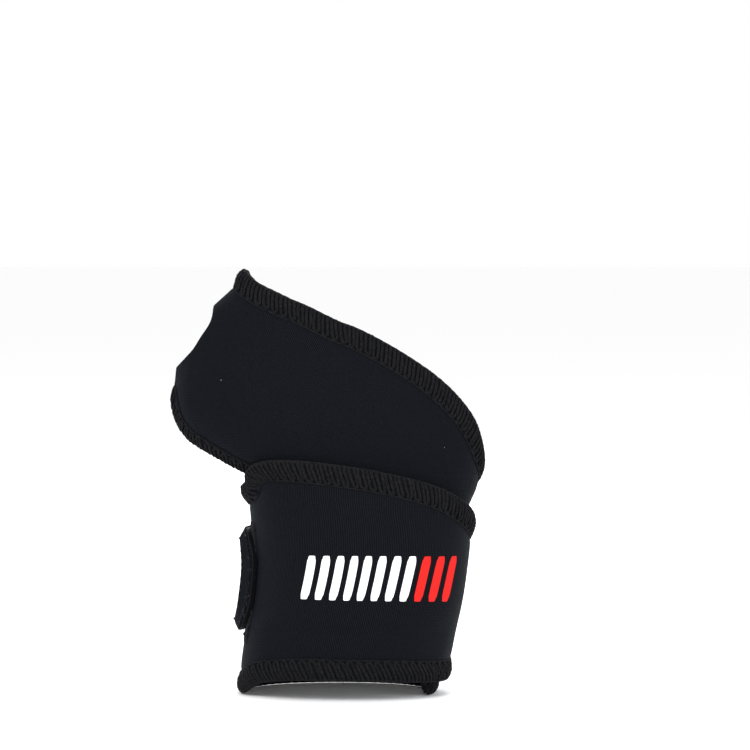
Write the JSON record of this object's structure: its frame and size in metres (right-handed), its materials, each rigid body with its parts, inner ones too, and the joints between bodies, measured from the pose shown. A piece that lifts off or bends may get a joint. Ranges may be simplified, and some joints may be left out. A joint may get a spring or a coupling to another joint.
{
  "type": "wrist support brace",
  "caption": "Soft wrist brace: a padded knit wrap with a thumb hole that winds round the hand and wrist and closes over the palm with a hook-and-loop strap.",
  "frame": {"origin": "centre of the bounding box, on the plane of the cuff's lowest edge", "axes": "+Z points to the fingers, -Y out of the back of the hand, -X to the thumb"},
  "size_m": [0.1136, 0.0659, 0.1529],
  "materials": {
    "outer_knit": "fine smooth knit with a soft sheen",
    "foam": "matte closed-cell foam",
    "lining_knit": "brushed knit",
    "overlock_thread": "fluffy textured thread",
    "stitch_thread": "twisted thread",
    "hook_tape": "stiff tape with moulded hooks",
    "loop_pile": "napped loop pile",
    "white_ink": "soft screen print",
    "red_ink": "soft screen print"
  },
  "bodies": {
    "hand_wrap": {"hand_face": "outer_knit", "hand_foam": "foam", "hand_lining": "lining_knit", "hand_top_overlock": "overlock_thread", "hand_low_overlock": "overlock_thread", "cuff_inner_face": "outer_knit", "cuff_inner_foam": "foam", "cuff_inner_lining": "lining_knit", "cuff_inner_top_overlock": "overlock_thread", "cuff_base_overlock": "overlock_thread", "cuff_outer_face": "outer_knit", "cuff_outer_foam": "foam", "cuff_outer_lining": "lining_knit", "cuff_outer_top_overlock": "overlock_thread", "cuff_outer_low_overlock": "overlock_thread", "loop_patch": "loop_pile", "loop_stitching": "stitch_thread", "white_print": "white_ink", "red_print": "red_ink"},
    "palm_flap": {"flap_face": "outer_knit", "flap_foam": "foam", "flap_lining": "lining_knit", "flap_overlock": "overlock_thread"},
    "strap": {"strap_face": "outer_knit", "strap_foam": "foam", "strap_lining": "lining_knit", "strap_overlock": "overlock_thread"},
    "strap_end": {"strap_end_face": "outer_knit", "strap_end_foam": "foam", "strap_end_lining": "lining_knit", "strap_end_overlock": "overlock_thread"},
    "tab": {"tab_face": "outer_knit", "tab_foam": "foam", "tab_lining": "lining_knit", "hook_tape": "hook_tape", "hook_stitching": "stitch_thread"}
  },
  "joints": [
    {"name": "palm_flap_open", "type": "hinge", "parent": "hand_wrap", "child": "palm_flap", "pos_m": [-0.0565, -0.00087, 0.117], "axis": [0.5558, 0, 0.8313], "range_deg": [0, 50], "stiffness_Nm_per_rad": 0.02},
    {"name": "strap_open", "type": "hinge", "parent": "hand_wrap", "child": "strap", "pos_m": [0.0443, -0.00087, 0.0049], "axis": [-0.1672, 0, -0.9859], "range_deg": [0, 105]},
    {"name": "strap_bend", "type": "hinge", "parent": "strap", "child": "strap_end", "pos_m": [0.00594, 0.03306, 0.01608], "axis": [-0.122, 0.0356, -0.9919], "range_deg": [0, 60]},
    {"name": "tab_peel", "type": "hinge", "parent": "strap_end", "child": "tab", "pos_m": [-0.02945, 0.0185, 0.0215], "axis": [-0.0841, 0.0018, -0.9965], "range_deg": [0, 75]}
  ],
  "couplings": [
    {"joint": "strap_bend", "follows": "strap_open", "ratio": 0.55}
  ]
}
